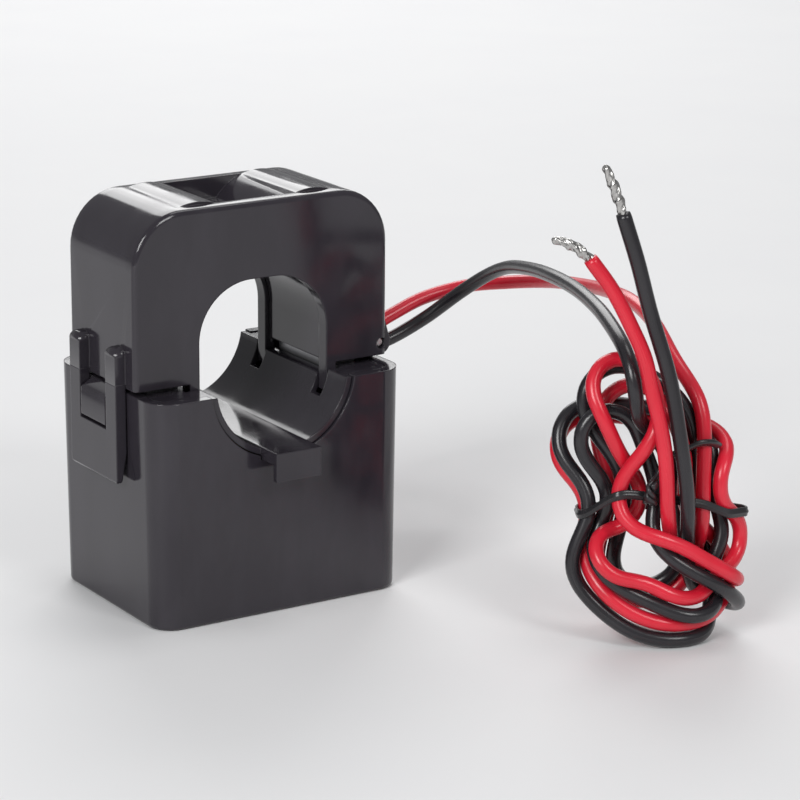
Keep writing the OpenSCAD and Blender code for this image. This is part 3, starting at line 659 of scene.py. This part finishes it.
def layered(name, axis, period, dark, light, rough, metallic):
    """Stuff laid in layers or turns: stripes across one axis, each a groove and a tone, with painted shade:
    the colour is dark in each groove and light on each crest.
    """
    mat, tree, shader = node_tree(name)
    place = add(tree, "ShaderNodeTexCoord")
    lines = stripes(tree, place.outputs["Object"], axis, period)
    # Painted shade: the dark tone lies where the stripes' height is low, in the grooves of the bump.
    tint(tree, lines, dark, light, shader.inputs["Base Color"])
    patch = noise_over(tree, place.outputs["Object"], 300)
    between(tree, patch.outputs["Fac"], rough[0], rough[1], shader.inputs["Roughness"])
    bump(tree, shader, lines, 0.00008)
    shader.inputs["Metallic"].default_value = metallic
    return mat


HOUSING_BLACK = plastic("housing_plastic", (0.026, 0.0225, 0.029), (0.034, 0.030, 0.038),
                        rough=(0.10, 0.20), grain=0.22, depth=0.00001, edge=0.3)
RED_PVC = insulation("red_insulation", (0.66, 0.012, 0.032), (0.76, 0.022, 0.048), (0.22, 0.34))
BLACK_PVC = insulation("black_insulation", (0.014, 0.0125, 0.0155), (0.024, 0.022, 0.026), (0.2, 0.34))
TINNED = bright_metal("tinned_strand", (0.74, 0.73, 0.71), (0.3, 0.29, 0.28), (0.16, 0.36), 2200)
TIE_PLASTIC = plastic("tie_plastic", (0.016, 0.015, 0.017), (0.03, 0.028, 0.032),
                      rough=(0.25, 0.42), grain=0.5, depth=0.00003, edge=0.05)
BOBBIN_WHITE = plastic("bobbin_plastic", (0.70, 0.66, 0.56), (0.78, 0.75, 0.66),
                       rough=(0.3, 0.45), grain=0.4, depth=0.00002, edge=0.2)
X_AXIS = 0
# The dark tones of the tape, copper and core steel are painted shade in the grooves between turns and
# layers.
TAPE = layered("winding_tape", X_AXIS, 0.006, (0.62, 0.42, 0.05), (0.75, 0.55, 0.09),
               rough=(0.14, 0.3), metallic=0.0)
COPPER = layered("copper_wire", X_AXIS, 0.00026, (0.42, 0.13, 0.05), (0.86, 0.42, 0.22),
                 rough=(0.2, 0.4), metallic=1.0)
CORE_STEEL = layered("core_steel", X_AXIS, 0.00028, (0.25, 0.25, 0.26), (0.62, 0.62, 0.63),
                     rough=(0.25, 0.45), metallic=1.0)
SPRING_STEEL = bright_metal("spring_steel", (0.66, 0.66, 0.67), (0.5, 0.5, 0.51), (0.2, 0.35), 400)

# Each piece's finish
FINISH = {"red_insulation": RED_PVC, "black_insulation": BLACK_PVC, "red_strand": TINNED,
          "black_strand": TINNED, "tie": TIE_PLASTIC, "bobbin": BOBBIN_WHITE, "winding_tape": TAPE,
          "secondary_winding": COPPER, "lower_core": CORE_STEEL, "upper_core": CORE_STEEL,
          "core_spring": SPRING_STEEL, "hinge_pin": SPRING_STEEL, "red_splice_sleeve": RED_PVC,
          "black_splice_sleeve": BLACK_PVC}


def finish(obj, mat):
    """Gives a piece its material."""
    obj.data.materials.clear()
    obj.data.materials.append(mat)


for shell in housing:
    finish(shell, HOUSING_BLACK)
for piece_name, mat in FINISH.items():
    finish(bpy.data.objects[piece_name], mat)

# ---------------------------------------------------------------- stage and light


def floor():
    """Pale floor that keeps the object's shadow."""
    half = 3.0
    corners = [(-half, -half, 0), (half, -half, 0), (half, half, 0), (-half, half, 0)]
    mesh = bpy.data.meshes.new("floor")
    mesh.from_pydata(corners, [], [(0, 1, 2, 3)])
    obj = bpy.data.objects.new("floor", mesh)
    bpy.context.scene.collection.objects.link(obj)
    mat, tree, shader = node_tree("pale_floor")
    place = add(tree, "ShaderNodeTexCoord")
    grain = noise_over(tree, place.outputs["Object"], 25)
    tint(tree, grain.outputs["Fac"], (0.80, 0.80, 0.81), (0.83, 0.83, 0.83), shader.inputs["Base Color"])
    shader.inputs["Roughness"].default_value = 0.7
    obj.data.materials.append(mat)


def softbox(name, place, aim, size, power):
    """Square lamp at place that shines at aim, both in metres."""
    data = bpy.data.lights.new(name, "AREA")
    data.shape = "SQUARE"
    data.size = size
    data.energy = power
    obj = bpy.data.objects.new(name, data)
    way = Vector(aim) - Vector(place)
    obj.location = place
    obj.rotation_euler = way.to_track_quat("-Z", "Y").to_euler()
    bpy.context.scene.collection.objects.link(obj)


def room(strength):
    """Even light all round. What the camera, gloss and glass see of it is a shade darker than its light."""
    world = bpy.data.worlds.new("room")
    world.use_nodes = True
    bpy.context.scene.world = world
    tree = world.node_tree
    tree.nodes.clear()
    end = tree.nodes.new("ShaderNodeOutputWorld")
    paths = tree.nodes.new("ShaderNodeLightPath")
    light = add(tree, "ShaderNodeBackground", Color=(0.97, 0.98, 1.0, 1), Strength=strength)
    seen = add(tree, "ShaderNodeBackground", Color=(0.95, 0.96, 0.98, 1), Strength=strength)
    last = paths.outputs["Is Camera Ray"]
    for ray in ("Is Glossy Ray", "Is Transmission Ray"):
        more = add(tree, "ShaderNodeMath", operation="MAXIMUM")
        tree.links.new(last, more.inputs[0])
        tree.links.new(paths.outputs[ray], more.inputs[1])
        last = more.outputs[0]
    mix = tree.nodes.new("ShaderNodeMixShader")
    tree.links.new(last, mix.inputs[0])
    tree.links.new(light.outputs[0], mix.inputs[1])
    tree.links.new(seen.outputs[0], mix.inputs[2])
    tree.links.new(mix.outputs[0], end.inputs["Surface"])


floor()
room(strength=0.28)
softbox("key", (-0.85, -0.45, 0.6), (0.01, 0, 0.03), size=0.45, power=7.0)
softbox("front", (0.15, -1.0, 0.75), (0.02, -0.02, 0.03), size=0.35, power=3.4)
softbox("top", (0.3, 0.0, 0.95), (0.01, 0, 0.03), size=0.35, power=1.2)
softbox("back", (0.38, 0.7, 0.55), (0.01, 0, 0.05), size=0.6, power=3.6)
bpy.context.scene.view_settings.view_transform = "Standard"
